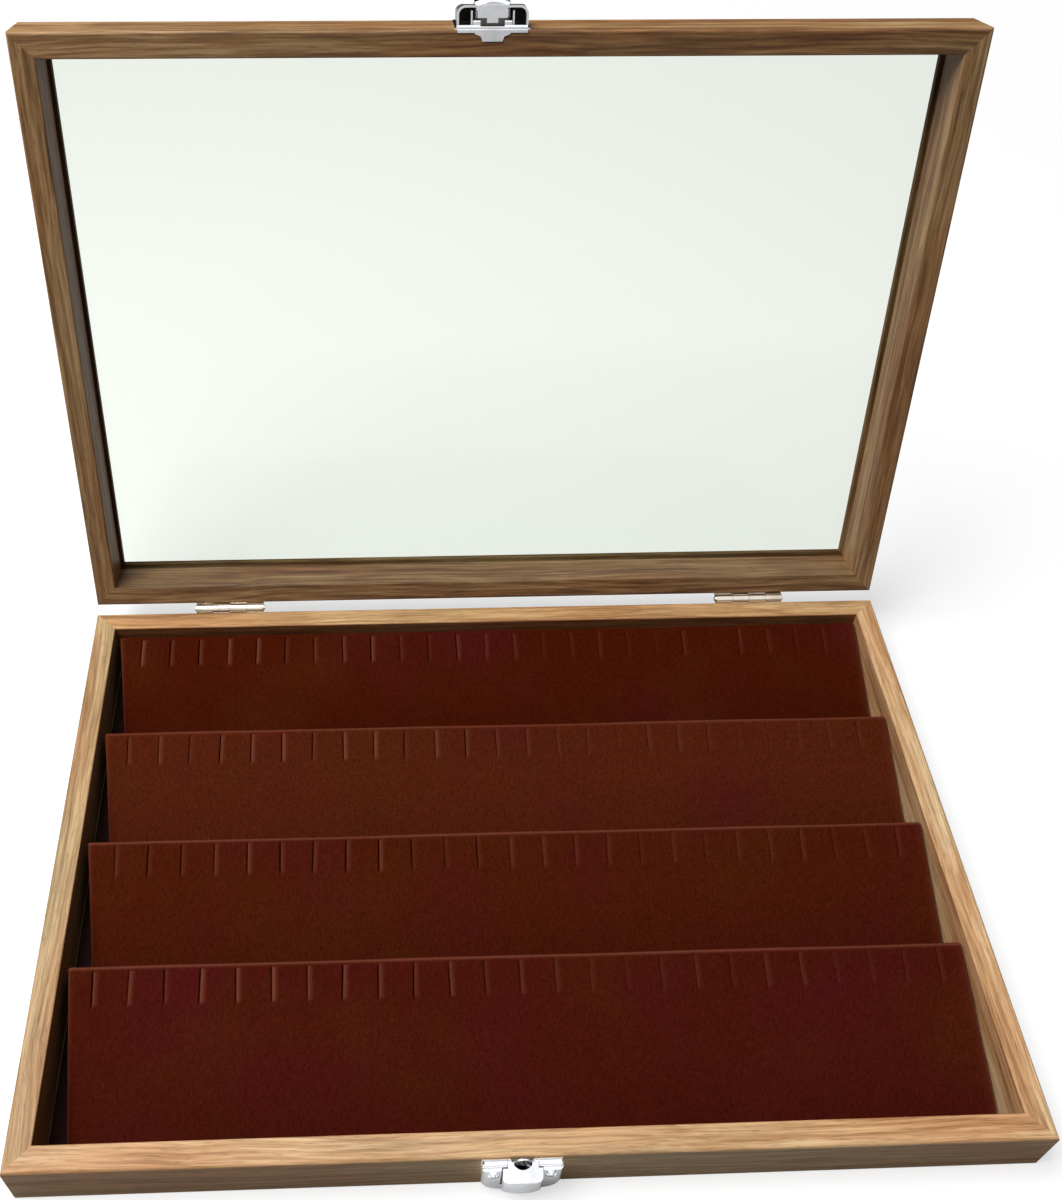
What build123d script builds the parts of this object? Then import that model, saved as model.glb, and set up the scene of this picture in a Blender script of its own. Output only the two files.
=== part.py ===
from build123d import *
from math import cos, radians, sin
import os

# Wooden display box for jewelry with a glazed hinged lid and four slotted tiers covered in suede.
# Frame: X to the right, Y to the back, Z up, origin at the middle of the underside.
# The lid is modelled closed and then swung open about its hinge axis, which is how the box stands at rest.

os.makedirs("parts", exist_ok=True)

# Case
case_width = 350.0
case_depth = 240.0
base_height = 23.5
lid_height = 21.0
rail = 9.0
outer_edge_round = 1.2
arris_round = 0.4
mating_round = 1.0

# Bottom panel and the card on it
panel_thickness = 3.0
rabbet_width = 4.0
card_thickness = 1.0
card_clearance = 0.5
floor_z = panel_thickness + card_thickness

# Glass and the rails' groove for it
glass_thickness = 2.0
glass_from_edge = 16.5
groove_depth = 3.0
groove_clearance = 0.3
lip_overhang = 1.2

# Tiers
tier_count = 4
rear_ridge_y = 107.5
tier_pitch = 52.0
ridge_z = 20.5
board = 2.2
ridge_round = 1.2
ridge_excess = 0.42
riser_behind = 1.6
tier_left_at_ridge = -163.8
tier_left_at_foot = -158.3
tier_right = 165.0
tier_gap = 0.3
slit_count = 25
slit_pitches = [12.65, 12.75, 12.8, 12.9]
slit_insets = [9.6, 9.6, 10.7, 9.1]
slit_length = 11.5
slit_width = 0.6
slit_margin = 1.0

# Hinges
open_angle = 105.0
closed_gap = 0.8
axis_behind = 2.1
axis_y = case_depth / 2 + axis_behind
axis_z = base_height
hinge_centres = {"left": -116.0, "right": 119.0}
hinge_length = 30.0
knuckle_count = 4
knuckle_clearance = 0.15
barrel_r = 1.95
hinge_pin_r = 0.95
hinge_bore_r = 1.0
leaf_thickness = 1.0
leaf_reach = 10.5
leaf_notch = 2.25
leaf_corner = 1.5
leaf_screw_drop = 6.5
leaf_screw_spread = 9.0
leaf_screw_head_r = 1.9
leaf_screw_head = 0.6
leaf_screw_r = 0.9
leaf_screw_length = 7.0
hinge_pin_end = 0.6
stop_gap = 0.05
stop_lug = {"root": 1.5, "tip": 3.6, "heel": (3.0, 0.1)}

# Latch: x is counted from the latch's middle, proud from the front face, rise from the base's rim
latch_x = -4.8
plate_half = 13.4
plate_top = -1.95
plate_foot = -20.5
plate_proud = 3.4
plate_wall = 0.8
plate_corner = 7.0
plate_edge = 0.7
channel_half = 6.95
channel_foot = -15.4
channel_floor = 0.65
pivot_proud = 1.6
pivot_rise = -0.3
pivot_r = 0.6
pivot_bore_r = 0.65
pivot_end = 0.1
latch_knuckle_r = 1.4
plate_knuckle_inner = 5.2
plate_knuckle_end = 0.2
plate_knuckle_bevel = 0.5
neck_front = 1.1
neck_overlap = 0.5
ear_inner = 3.9
ear_outer = 5.0
ear_clearance = 0.3
lever_half = 6.65
lever_wall = 0.9
lever_back = 0.9
lever_top = (2.7, 0.7)
lever_crease = (6.3, -6.3)
lever_proud = 6.8
lever_brow = -6.9
lever_bow = 1.0
lever_foot = -15.1
lever_corner = 1.2
lever_edge = 0.4
lever_behind = [(0, 2), (1.8, 2), (1.2, -2.3), (0, -2.3)]
web_top_inset = 0.1
web_foot = [(3.4, -1.2), (pivot_proud, -1.6)]
beside_ear = 0.05
spring_wire_r = 0.15
spring_facets = 6
spring_coil_r = 0.78
spring_pitch = 1.5
spring_turns = 4.25
spring_leg = 5.0
spring_room = 3.6
spring_clearance = 0.1
loop_back = 2.15
loop_front = 2.5
loop_centre_rise = 1.0
loop_half = 3.9
loop_height = 3.7
eye_half = 3.5
eye_height = 3.3
opening_half = 3.0
opening_side = 2.7
opening_middle = 3.7
opening_foot = -3.0
screw_x = 9.6
screw_rise = -6.4
screw_head_r = 2.1
screw_r = 1.0
screw_length = 9.0

# Catch on the lid: level is counted up from the lid's mating face
catch_half = 13.4
catch_foot = 0.9
catch_top = 19.0
catch_sheet = 0.6
catch_corner = 3.0
bar_half = 12.4
bar_r = 0.85
bar_level = 1.45
strike_half = 6.9
strike_proud = 3.1
strike_height = 1.0
strike_round = 0.5
slot_half = 4.3
slot_proud = 1.1
housing_half = 12.7
housing_top = 13.5
housing_proud = 8.1
housing_belly = (6.4, 8.4)
housing_crown = 1.3
housing_wall = 0.8
shoulder_r = 3.2
cheek_inner = 7.1
cheek_outer = 7.7
cheek_proud = 6.3
block_half = 6.3
block_proud = 10.1
block_belly = (8.2, 8.0)
block_crown = 1.8
block_shoulder = 1.6
block_bow = 1.2
block_lift = 0.3
block_edge = 1.0
block_back = 3.8
tooth_half = 2.0
tooth_reach = 2.15
tooth_level = 1.4
tooth_height = 0.75
slot_top = 5.0
fold_reach = 0.8
tab_half = 6.3
tab_waist = [(6.3, 1.2), (4.2, 2.0)]
tab_tip_half = 3.5
tab_reach = 3.7
tab_thickness = 0.6
tab_sunk = 0.3
fold_overlap = 0.1
fold_lap = 0.5
catch_screw_x = 10.0
catch_screw_level = 16.4
catch_screw_head_r = 1.7
catch_screw_r = 0.9
catch_screw_length = 4.8

# Slotted pan heads, as shares of the head's radius
pan_height = 0.45
pan_round = 0.25
slot_width = 0.24
slot_depth = 0.25
slot_turn = 25.0

coil_outer = spring_coil_r + spring_wire_r

on_foot = (Align.CENTER, Align.CENTER, Align.MIN)
from_corner = (Align.MIN, Align.MIN, Align.MIN)


def block(x, y, z):
    """Box from its lowest and highest coordinate along each axis."""
    return Pos(x[0], y[0], z[0]) * Box(x[1] - x[0], y[1] - y[0], z[1] - z[0], align=from_corner)


def bar_x(x, y, z, radius):
    """Round bar along X."""
    return Pos(x[0], y, z) * Rot(0, 90, 0) * Cylinder(radius, x[1] - x[0], align=on_foot)


def bar_forward(x, front_y, z, radius, length):
    """Round bar along Y whose rear end is length behind its front end."""
    return Pos(x, front_y + length, z) * Rot(90, 0, 0) * Cylinder(radius, length, align=on_foot)


def screw_shank(x, front_y, z, radius, length):
    """Screw shank driven backwards: its thread is left out and six flats stand for it."""
    flats = extrude(RegularPolygon(radius, 6), amount=length)
    return Pos(x, front_y + length, z) * Rot(90, 0, 0) * flats


def side_prism(points, x):
    """Solid with a Y-Z outline, run along X."""
    outline = make_face(Polyline(*points, close=True))
    return extrude(Plane.YZ.offset(x[0]) * outline, amount=x[1] - x[0])


def plan_prism(points, z):
    """Solid with an X-Y outline, run up Z."""
    outline = make_face(Polyline(*points, close=True))
    return extrude(Plane.XY.offset(z[0]) * outline, amount=z[1] - z[0])


def centred(width, depth, z):
    """Box centred on the Z axis between two heights."""
    return block((-width / 2, width / 2), (-depth / 2, depth / 2), z)


def edges_at(solid, z):
    """The solid's edges that lie at one height."""
    return solid.edges().filter_by_position(Axis.Z, z - 0.01, z + 0.01)


def is_within(half_x, half_y):
    """Test for edges whose middle lies inside a rectangle round the Z axis."""
    return lambda edge: abs(edge.center().X) < half_x and abs(edge.center().Y) < half_y


def blank(height, lower_round, upper_round):
    """Outer form of a frame, with its long arrises eased and its mitred corners crisp."""
    body = centred(case_width, case_depth, (0, height))
    body = fillet(edges_at(body, height), upper_round)
    return fillet(edges_at(body, 0), lower_round)


def mitred(ring, height):
    """The four rails of a frame, parted at 45 degrees in its corners."""
    x = case_width / 2
    y = case_depth / 2
    inner_x = x - 3 * rail
    inner_y = y - 3 * rail
    front = [(-x, -y), (x, -y), (inner_x, -inner_y), (-inner_x, -inner_y)]
    left = [(-x, -y), (-x, y), (-inner_x, inner_y), (-inner_x, -inner_y)]
    outlines = {"front": front, "left": left}
    outlines["rear"] = [(a, -b) for a, b in front]
    outlines["right"] = [(-a, b) for a, b in left]
    return {side: ring & plan_prism(outline, (-1, height + 1)) for side, outline in outlines.items()}


def opened(shape):
    """Swings a piece of the closed lid to its open place."""
    return Pos(0, axis_y, axis_z) * Rot(-open_angle, 0, 0) * Pos(0, -axis_y, -axis_z) * shape


def write(name, shape):
    """Writes one named piece."""
    export_step(shape, f"parts/{name}.step")


# Wooden frames
inside_width = case_width - 2 * rail
inside_depth = case_depth - 2 * rail

base_ring = blank(base_height, arris_round, outer_edge_round)
base_ring -= centred(inside_width, inside_depth, (-1, base_height + 1))
rabbet = (inside_width + 2 * rabbet_width, inside_depth + 2 * rabbet_width)
base_ring -= centred(*rabbet, (-1, panel_thickness))
near_rim = is_within(inside_width / 2 + 0.1, inside_depth / 2 + 0.1)
base_ring = fillet(edges_at(base_ring, base_height).filter_by(near_rim), arris_round)

lip_inset = rail + lip_overhang
lid_ring = blank(lid_height, mating_round, outer_edge_round)
lid_ring -= centred(inside_width, inside_depth, (-1, glass_from_edge))
lid_ring = fillet(edges_at(lid_ring, 0).filter_by(near_rim), arris_round)
groove = (glass_from_edge, glass_from_edge + glass_thickness)
lid_ring -= centred(inside_width + 2 * groove_depth, inside_depth + 2 * groove_depth, groove)
window = (case_width - 2 * lip_inset, case_depth - 2 * lip_inset)
lid_ring -= centred(*window, (glass_from_edge, lid_height + 1))
lid_z = base_height + closed_gap

base_rails = mitred(base_ring, base_height)
lid_rails = {side: Pos(0, 0, lid_z) * piece for side, piece in mitred(lid_ring, lid_height).items()}
pane = centred(
    inside_width + 2 * (groove_depth - groove_clearance),
    inside_depth + 2 * (groove_depth - groove_clearance),
    (lid_z + groove[0], lid_z + groove[1]),
)

panel = centred(*rabbet, (0, panel_thickness))
card_size = (inside_width - 2 * card_clearance, inside_depth - 2 * card_clearance)
card = centred(*card_size, (panel_thickness, floor_z))


def tier(foot_y, crest_y, slit_pitch, slit_inset):
    """A folded board: a slope from its foot up to the ridge, a riser behind, and slits at the ridge."""
    back_y = crest_y + riser_behind
    lift = (ridge_z + ridge_excess - floor_z) / (back_y - foot_y)
    apex_z = floor_z + lift * (back_y - foot_y)
    slope = (1 + lift * lift) ** 0.5
    drop = board * slope
    wedge = [(foot_y, floor_z), (back_y, apex_z), (back_y, floor_z)]
    body = side_prism(wedge, (tier_left_at_ridge, tier_right))
    body = fillet(edges_at(body, apex_z), ridge_round)
    inner_back = back_y - board
    inner_apex = apex_z - lift * board - drop
    hollow = [(foot_y + drop / lift, floor_z), (inner_back, inner_apex), (inner_back, floor_z)]
    body -= side_prism(hollow, (tier_left_at_ridge - 1, tier_right + 1))
    slant = tier_left_at_foot - tier_left_at_ridge
    run = crest_y - foot_y
    beyond = 2.0
    body -= plan_prism(
        [
            (tier_left_at_ridge, crest_y),
            (tier_left_at_foot + slant * beyond / run, foot_y - beyond),
            (tier_left_at_ridge - beyond, foot_y - beyond),
            (tier_left_at_ridge - beyond, crest_y),
        ],
        (0, base_height),
    )
    slit_top = (crest_y - slit_margin, apex_z + 1)
    slit_foot = (crest_y - slit_margin - slit_length / slope, apex_z + 1)
    below = floor_z + 1
    outline = [slit_top, slit_foot, (slit_foot[0], below), (slit_top[0], below)]
    first = tier_left_at_ridge + slit_inset - slit_width / 2
    cut = side_prism(outline, (first, first + slit_width))
    return body - [Pos(i * slit_pitch, 0, 0) * cut for i in range(slit_count)]


ridges = [rear_ridge_y - i * tier_pitch for i in range(tier_count)]
feet = [y + riser_behind + tier_gap for y in ridges[1:]] + [-inside_depth / 2 + tier_gap]
tiers = [tier(*row) for row in zip(feet, ridges, slit_pitches, slit_insets)]


def leaf_screw(x, z, face_y):
    """Flat-headed screw on a leaf's outer face, driven towards the front."""
    head = bar_forward(x, face_y, z, leaf_screw_head_r, leaf_screw_head)
    return head + screw_shank(x, face_y - leaf_screw_length, z, leaf_screw_r, leaf_screw_length)


def knuckle_spans(centre, wanted):
    """X ranges of a leaf's own knuckles."""
    pitch = hinge_length / knuckle_count
    starts = [centre - hinge_length / 2 + i * pitch for i in wanted]
    return [(x + knuckle_clearance / 2, x + pitch - knuckle_clearance / 2) for x in starts]


def leaf(centre, wanted, side, bore):
    """Hinge leaf on the outside of a rear rail: side is -1 for the base's and 1 for the lid's."""
    inner_y = axis_y - axis_behind
    outer_y = inner_y + leaf_thickness
    reach = sorted((axis_z + side * leaf_notch, axis_z + side * leaf_reach))
    flap = block((centre - hinge_length / 2, centre + hinge_length / 2), (inner_y, outer_y), reach)
    flap = fillet(flap.edges().filter_by(Axis.Y).group_by(Axis.Z)[0 if side < 0 else -1], leaf_corner)
    for span in knuckle_spans(centre, wanted):
        root = sorted((axis_z, axis_z + side * leaf_notch))
        flap += block(span, (inner_y, outer_y), root)
        flap += bar_x(span, axis_y, axis_z, barrel_r)
    return flap - bar_x((centre - hinge_length, centre + hinge_length), axis_y, axis_z, bore)


def stop_lugs(centre, wanted):
    """Lugs on the fixed knuckles, under the moving leaf's edge, that stop the lid when it is open."""
    angle = radians(open_angle)
    forward = (-cos(angle), sin(angle))
    upward = (sin(angle), cos(angle))
    stop_face = axis_behind - leaf_thickness - stop_gap
    root = stop_lug["root"]
    heel, lowest = stop_lug["heel"]
    corners = [(root, stop_face), (stop_lug["tip"], stop_face), (heel, lowest), (root, lowest)]
    outline = []
    for u, v in corners:
        outline.append((axis_y + v * forward[0] + u * upward[0], axis_z + v * forward[1] + u * upward[1]))
    return [side_prism(outline, span) for span in knuckle_spans(centre, wanted)]


fixed_knuckles = (0, 2)
moving_knuckles = (1, 3)
base_leaves = {}
lid_leaves = {}
hinge_pins = {}
base_screws = []
lid_screws = []
for side, centre in hinge_centres.items():
    bore = bar_x((centre - hinge_length, centre + hinge_length), axis_y, axis_z, hinge_pin_r)
    base_leaves[side] = leaf(centre, fixed_knuckles, -1, hinge_pin_r)
    base_leaves[side] += [lug - bore for lug in stop_lugs(centre, fixed_knuckles)]
    lid_leaves[side] = leaf(centre, moving_knuckles, 1, hinge_bore_r)
    half_pin = hinge_length / 2 + hinge_pin_end
    hinge_pins[side] = bar_x((centre - half_pin, centre + half_pin), axis_y, axis_z, hinge_pin_r)
    face_y = axis_y - axis_behind + leaf_thickness
    for x in (centre - leaf_screw_spread, centre + leaf_screw_spread):
        base_screws.append(leaf_screw(x, axis_z - leaf_screw_drop, face_y))
        lid_screws.append(leaf_screw(x, axis_z + leaf_screw_drop, face_y))
    base_leaves[side] -= base_screws[-2:]
    lid_leaves[side] -= lid_screws[-2:]
base_rails["rear"] -= base_screws
lid_rails["rear"] -= lid_screws


def latch_prism(points, half):
    """Latch piece with an outline of (proud, rise) pairs, centred on the latch."""
    return side_prism([(-proud, rise) for proud, rise in points], (-half, half))


def latch_block(half, proud, rise):
    """Box centred on the latch."""
    return block((-half, half), (-proud[1], -proud[0]), rise)


def at_latch(shape):
    """Moves a latch piece from its own frame to the base's front face."""
    return Pos(latch_x, -case_depth / 2, base_height) * shape


def plate_outline(inset):
    """The plate's front outline, round at its lower corners."""
    height = plate_top - plate_foot - 2 * inset
    shape = Rectangle(2 * (plate_half - inset), height)
    shape = fillet(shape.vertices().group_by(Axis.Y)[0], plate_corner - inset)
    return Pos(0, (plate_top + plate_foot) / 2) * shape


def latch_base_plate():
    """Hollow pressed plate with a channel for the lever and two rolled knuckles above it."""
    body = extrude(Plane.XZ * plate_outline(0), amount=plate_proud)
    body = chamfer(body.faces().sort_by(Axis.Y)[0].edges(), plate_edge)
    hollow = extrude(Plane.XZ * plate_outline(plate_wall), amount=plate_proud - plate_wall)
    channel_wall = channel_half + plate_wall
    walls = body & latch_block(channel_wall, (0, plate_proud), (plate_foot, plate_top))
    shell = (body - hollow) + walls
    shell -= latch_block(channel_half, (channel_floor, plate_proud + 1), (channel_foot, plate_top + 1))
    for sign in (-1, 1):
        end = sign * (plate_half - plate_knuckle_end)
        curl = bar_x(sorted((sign * plate_knuckle_inner, end)), -pivot_proud, pivot_rise, latch_knuckle_r)
        rim = curl.edges().filter_by_position(Axis.X, end - 0.01, end + 0.01)
        curl = chamfer(rim, plate_knuckle_bevel)
        neck_y = (-neck_front, latch_knuckle_r - pivot_proud)
        neck = block(sorted((sign * channel_half, end)), neck_y, (plate_top - neck_overlap, pivot_rise))
        shell += curl + neck
    return shell - bar_x((-plate_half, plate_half), -pivot_proud, pivot_rise, pivot_r)


def bow_plan(half, proud, bow):
    """Plan of a front that bows out, with its straight back inside the rail."""
    arc = ThreePointArc((-half, bow - proud), (0, -proud), (half, bow - proud))
    back = Polyline((half, bow - proud), (half, rail / 2), (-half, rail / 2), (-half, bow - proud))
    return make_face([arc, back])


def bowed(half, proud, bow, rise):
    """Region behind a front that bows out in plan."""
    return extrude(Plane.XY.offset(rise) * bow_plan(half, proud, bow), amount=base_height + lid_height)


def lever_shell():
    """Sloping face, bowed thumb lip and cheeks of the lever, open towards the plate."""
    brow = (lever_proud, lever_brow)
    outline = [(lever_back, lever_top[1]), lever_top, lever_crease, brow, (lever_proud, lever_foot)]
    skin = latch_prism(outline + [(lever_back, lever_foot)], lever_half)
    skin &= bowed(lever_half, lever_proud, lever_bow, lever_foot - 1)
    skin = fillet(skin.edges().filter_by(Axis.Y).group_by(Axis.Z)[0], lever_corner)
    skin = chamfer(skin.edges().filter_by(Axis.Z).group_by(Axis.Y)[0], lever_edge)
    wall = lever_wall
    inside = [(lever_top[0] - wall, lever_top[1] - wall), (lever_crease[0] - wall, lever_crease[1])]
    inside += [(lever_proud - wall, lever_brow), (lever_proud - wall, lever_foot + wall)]
    inside += [(0, lever_foot + wall), (0, lever_top[1] - wall)]
    room = latch_prism(inside, lever_half - wall)
    room &= bowed(lever_half - wall, lever_proud - wall, lever_bow, lever_foot - 1)
    return skin - room


def arch(half, height, proud):
    """Upright half ellipse that stands on a straight foot."""
    curve = EllipticalCenterArc((0, loop_centre_rise), half, height, start_angle=0, arc_size=180)
    shoulder = loop_centre_rise
    foot = Polyline((-half, shoulder), (-half, pivot_rise), (half, pivot_rise), (half, shoulder))
    return Pos(0, -proud[0], 0) * extrude(Plane.XZ * make_face([curve, foot]), amount=proud[1] - proud[0])


def lever():
    """Lever with two ears on the pin and a loop that stands over the opening it was bent up from."""
    body = lever_shell()
    for sign in (-1, 1):
        beside = sorted((sign * (ear_outer + beside_ear), sign * (lever_half + 1)))
        body -= bar_x(beside, -pivot_proud, pivot_rise, latch_knuckle_r + ear_clearance)
    body -= latch_prism(lever_behind, lever_half + 1)
    ear_top = pivot_rise + latch_knuckle_r
    web = [(pivot_proud, ear_top), (lever_top[0] - web_top_inset, lever_top[1])] + web_foot
    for sign in (-1, 1):
        span = sorted((sign * ear_inner, sign * ear_outer))
        body += bar_x(span, -pivot_proud, pivot_rise, latch_knuckle_r)
        body += side_prism([(-proud, rise) for proud, rise in web], span)
    edge = ThreePointArc((-opening_half, -opening_side), (0, -opening_middle), (opening_half, -opening_side))
    back = Polyline((opening_half, -opening_side), (opening_half, 0), (-opening_half, 0), edge @ 0)
    opening = Plane.XY.offset(opening_foot) * make_face([edge, back])
    body -= extrude(opening, amount=lever_top[1] - opening_foot + 1)
    body -= bar_x((-spring_room, spring_room), -pivot_proud, pivot_rise, coil_outer + spring_clearance)
    loop = arch(loop_half, loop_height, (loop_back, loop_front))
    body += loop - arch(eye_half, eye_height, (loop_back - 1, loop_front + 1))
    return body - bar_x((-lever_half, lever_half), -pivot_proud, pivot_rise, pivot_bore_r)


def least_gap(path, thickness):
    """Least gap between the turns of a wire, measured on points 0.1 mm apart along its path."""
    count = round(path.length / 0.1)
    points = [path @ (i / count) for i in range(count + 1)]
    next_turn = round(3 * spring_coil_r / 0.1)
    pairs = [(p, q) for i, p in enumerate(points) for q in points[i + next_turn :]]
    return min((p - q).length for p, q in pairs) - thickness


def torsion_spring():
    """Coil round the pivot pin, with one leg down the plate and a short one forward against the lever."""
    length = spring_pitch * spring_turns
    middle = Pos(-length / 2, -pivot_proud, pivot_rise)
    coil = middle * (Plane.YZ * Helix(spring_pitch, length, spring_coil_r))
    reach = ((coil_outer + spring_clearance) ** 2 - spring_coil_r**2) ** 0.5
    foot = coil @ 0 - (coil % 0) * spring_leg
    tip = coil @ 1 + (coil % 1) * (reach - spring_wire_r / 4)
    path = Wire([Line(foot, coil @ 0).edge(), coil.edge(), Line(coil @ 1, tip).edge()])
    print(f"latch spring: least gap between its turns {least_gap(path, 2 * spring_wire_r):.2f} mm")
    section = Plane(origin=foot, z_dir=coil % 0) * RegularPolygon(spring_wire_r, spring_facets)
    return sweep(section, path=path)


def catch_tab():
    """Fold of the catch plate over the lid's mating edge, with a tab in its middle, let into the wood."""
    plan = [(bar_half, -fold_overlap), (bar_half, fold_reach), (tab_half, fold_reach)]
    plan += tab_waist + [(tab_tip_half, tab_reach)]
    outline = plan + [(-x, y) for x, y in reversed(plan)]
    fold = plan_prism(outline, (-tab_sunk, tab_thickness - tab_sunk))
    return fold + latch_block(bar_half, (-fold_lap, fold_overlap), (-tab_sunk, bar_level))


def catch_back_plate():
    """Flat back plate of the catch with a half-round bar along its foot and a strike notched for the loop."""
    height = catch_top - catch_foot
    outline = Rectangle(2 * catch_half, height)
    outline = fillet(outline.vertices().group_by(Axis.Y)[-1], catch_corner)
    body = extrude(Plane.XZ * (Pos(0, catch_foot + height / 2) * outline), amount=catch_sheet)
    strike = latch_block(strike_half, (0, strike_proud), (catch_foot, catch_foot + strike_height))
    front_foot = strike.edges().filter_by(Axis.X).group_by(Axis.Z)[0].sort_by(Axis.Y)[0]
    bar = fillet(front_foot, strike_round)
    bar += bar_x((-bar_half, bar_half), -bar_r, bar_level, bar_r)
    bar += latch_block(bar_half, (0, bar_r), (bar_level - bar_r, bar_level + bar_r))
    slot = latch_block(slot_half, (slot_proud, strike_proud + 1), (0, bar_level + bar_r + 1))
    return body + (bar - slot) + catch_tab()


def dome(foot, belly, crown, half, shoulder, corner):
    """Solid with a curved side outline from foot over belly to crown, round at its shoulders and front."""
    front, middle, top = [(-proud, level) for proud, level in (foot, belly, crown)]
    curve = ThreePointArc(front, middle, top)
    back = Polyline(top, (-catch_sheet, top[1]), (-catch_sheet, front[1]), front)
    body = extrude(Plane.YZ.offset(-half) * make_face([curve, back]), amount=2 * half)
    outline = Pos(0, (foot[1] + crown[1]) / 2) * Rectangle(2 * half, crown[1] - foot[1])
    outline = fillet(outline.vertices().group_by(Axis.Y)[-1], shoulder)
    body &= extrude(Plane.XZ * outline, amount=2 * foot[0])
    plan = Pos(0, -foot[0] / 2) * Rectangle(2 * half, foot[0])
    plan = fillet(plan.vertices().group_by(Axis.Y)[0], corner)
    return body & extrude(plan, amount=crown[1])


def catch_cover():
    """Domed cover, open below, with a raised centre block whose tooth holds the lever's loop."""
    wall = housing_wall
    crown = (housing_crown, housing_top)
    outer = dome((housing_proud, catch_foot), housing_belly, crown, housing_half, shoulder_r, shoulder_r)
    belly = (housing_belly[0] - wall, housing_belly[1] - wall)
    room_top = (catch_sheet + 0.2, housing_top - wall - catch_sheet)
    inner_r = shoulder_r - wall
    cover = outer - dome((housing_proud - wall, 0), belly, room_top, housing_half - wall, inner_r, inner_r)
    for sign in (-1, 1):
        cheek_x = sorted((sign * cheek_inner, sign * cheek_outer))
        cover += outer & block(cheek_x, (-cheek_proud, -catch_sheet), (catch_foot, housing_top))
    cover -= latch_block(housing_half + 1, (0, 2 * bar_r), (0, bar_level + bar_r))
    foot = (block_proud, catch_foot + block_lift)
    crown = (block_crown, housing_top - block_lift)
    centre = dome(foot, block_belly, crown, block_half, block_shoulder, block_edge)
    narrow = bow_plan(block_half - block_edge, block_proud - block_edge, block_bow)
    bevel = extrude(Plane.XY.offset(foot[1]) * narrow, amount=block_edge, taper=-45)
    centre &= bevel + bowed(block_half, block_proud, block_bow, foot[1] + block_edge)
    centre -= latch_block(block_half + 1, (0, block_back), (0, slot_top))
    tooth_rise = (tooth_level, tooth_level + tooth_height)
    tooth = latch_block(tooth_half, (tooth_reach, block_back + 0.2), tooth_rise)
    return cover + centre + tooth


def at_catch(shape):
    """Moves a catch piece from its own frame to the closed lid's front face."""
    return Pos(latch_x, -case_depth / 2, lid_z) * shape


def pan_screws(x, rise, seat, head, shank, length):
    """Pair of slotted pan-headed screws: head and shank radii, seated at one proud."""
    screws = []
    for sign in (-1, 1):
        top = -seat - pan_height * head
        body = bar_forward(sign * x, top, rise, head, pan_height * head)
        body = chamfer(body.edges().group_by(Axis.Y)[0], pan_round * head)
        body += screw_shank(sign * x, -seat, rise, shank, length)
        half_slot = slot_width * head / 2
        slot = block((-head, head), (top - head, top + slot_depth * head), (-half_slot, half_slot))
        screws.append(body - Pos(sign * x, 0, rise) * Rot(0, slot_turn * sign, 0) * slot)
    return screws


base_plate = latch_base_plate()
plate_screws = pan_screws(screw_x, screw_rise, plate_proud, screw_head_r, screw_r, screw_length)
base_plate -= plate_screws
catch_screws = pan_screws(
    catch_screw_x, catch_screw_level, catch_sheet, catch_screw_head_r, catch_screw_r, catch_screw_length
)
catch_plate = catch_back_plate() - catch_screws
lid_rails["front"] -= [at_catch(piece) for piece in catch_screws + [catch_tab()]]
pivot_half = plate_half - pivot_end
pivot = bar_x((-pivot_half, pivot_half), -pivot_proud, pivot_rise, pivot_r)

for side, piece in base_rails.items():
    if side == "front":
        piece -= [at_latch(screw) for screw in plate_screws]
    write(f"base_{side}_rail", piece)
write("base_bottom_panel", panel)
write("insert_base_card", card)
for number, piece in enumerate(tiers, 1):
    write(f"insert_tier_{number}", piece)
for side in hinge_centres:
    write(f"hinge_{side}_base_leaf", base_leaves[side])
    write(f"hinge_{side}_lid_leaf", opened(lid_leaves[side]))
    write(f"hinge_{side}_pin", hinge_pins[side])
write("base_hinge_screws", Compound(base_screws))
write("lid_hinge_screws", opened(Compound(lid_screws)))
write("latch_plate", at_latch(base_plate))
write("latch_plate_screws", at_latch(Compound(plate_screws)))
write("latch_pivot_pin", at_latch(pivot))
write("latch_lever", at_latch(lever()))
write("latch_spring", at_latch(torsion_spring()))
write("catch_plate", opened(at_catch(catch_plate)))
write("catch_housing", opened(at_catch(catch_cover())))
write("catch_screws", opened(at_catch(Compound(catch_screws))))
for side, piece in lid_rails.items():
    write(f"lid_{side}_rail", opened(piece))
write("lid_glass", opened(pane))
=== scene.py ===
from math import cos, pi, radians, sin

import bpy
import numpy as np
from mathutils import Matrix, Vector


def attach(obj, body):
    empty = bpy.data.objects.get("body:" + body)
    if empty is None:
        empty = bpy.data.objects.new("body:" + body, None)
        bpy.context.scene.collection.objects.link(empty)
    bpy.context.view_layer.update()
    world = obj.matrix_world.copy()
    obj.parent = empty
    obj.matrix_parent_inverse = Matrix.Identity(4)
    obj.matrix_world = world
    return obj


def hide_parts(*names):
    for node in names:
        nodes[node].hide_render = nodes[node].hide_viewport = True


# Display box of wood veneer with a glazed lid, standing open, with four suede tiers in its base.

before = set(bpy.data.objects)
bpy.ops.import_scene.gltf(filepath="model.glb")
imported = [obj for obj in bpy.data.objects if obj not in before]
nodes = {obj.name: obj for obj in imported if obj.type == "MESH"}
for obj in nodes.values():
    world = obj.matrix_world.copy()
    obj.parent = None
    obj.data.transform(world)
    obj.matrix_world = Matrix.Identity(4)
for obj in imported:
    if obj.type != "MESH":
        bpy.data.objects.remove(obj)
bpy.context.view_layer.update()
scene = bpy.context.scene

# Millimetre, for sizes that are easier to read so.
mm = 0.001

# The lid's hinge axis as (y, z), and the angle that turns the open lid back to closed.
hinge_axis = (0.1221, 0.0235)
lid_turn = radians(105)

# The case's front face.
front_y = -0.12


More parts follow.
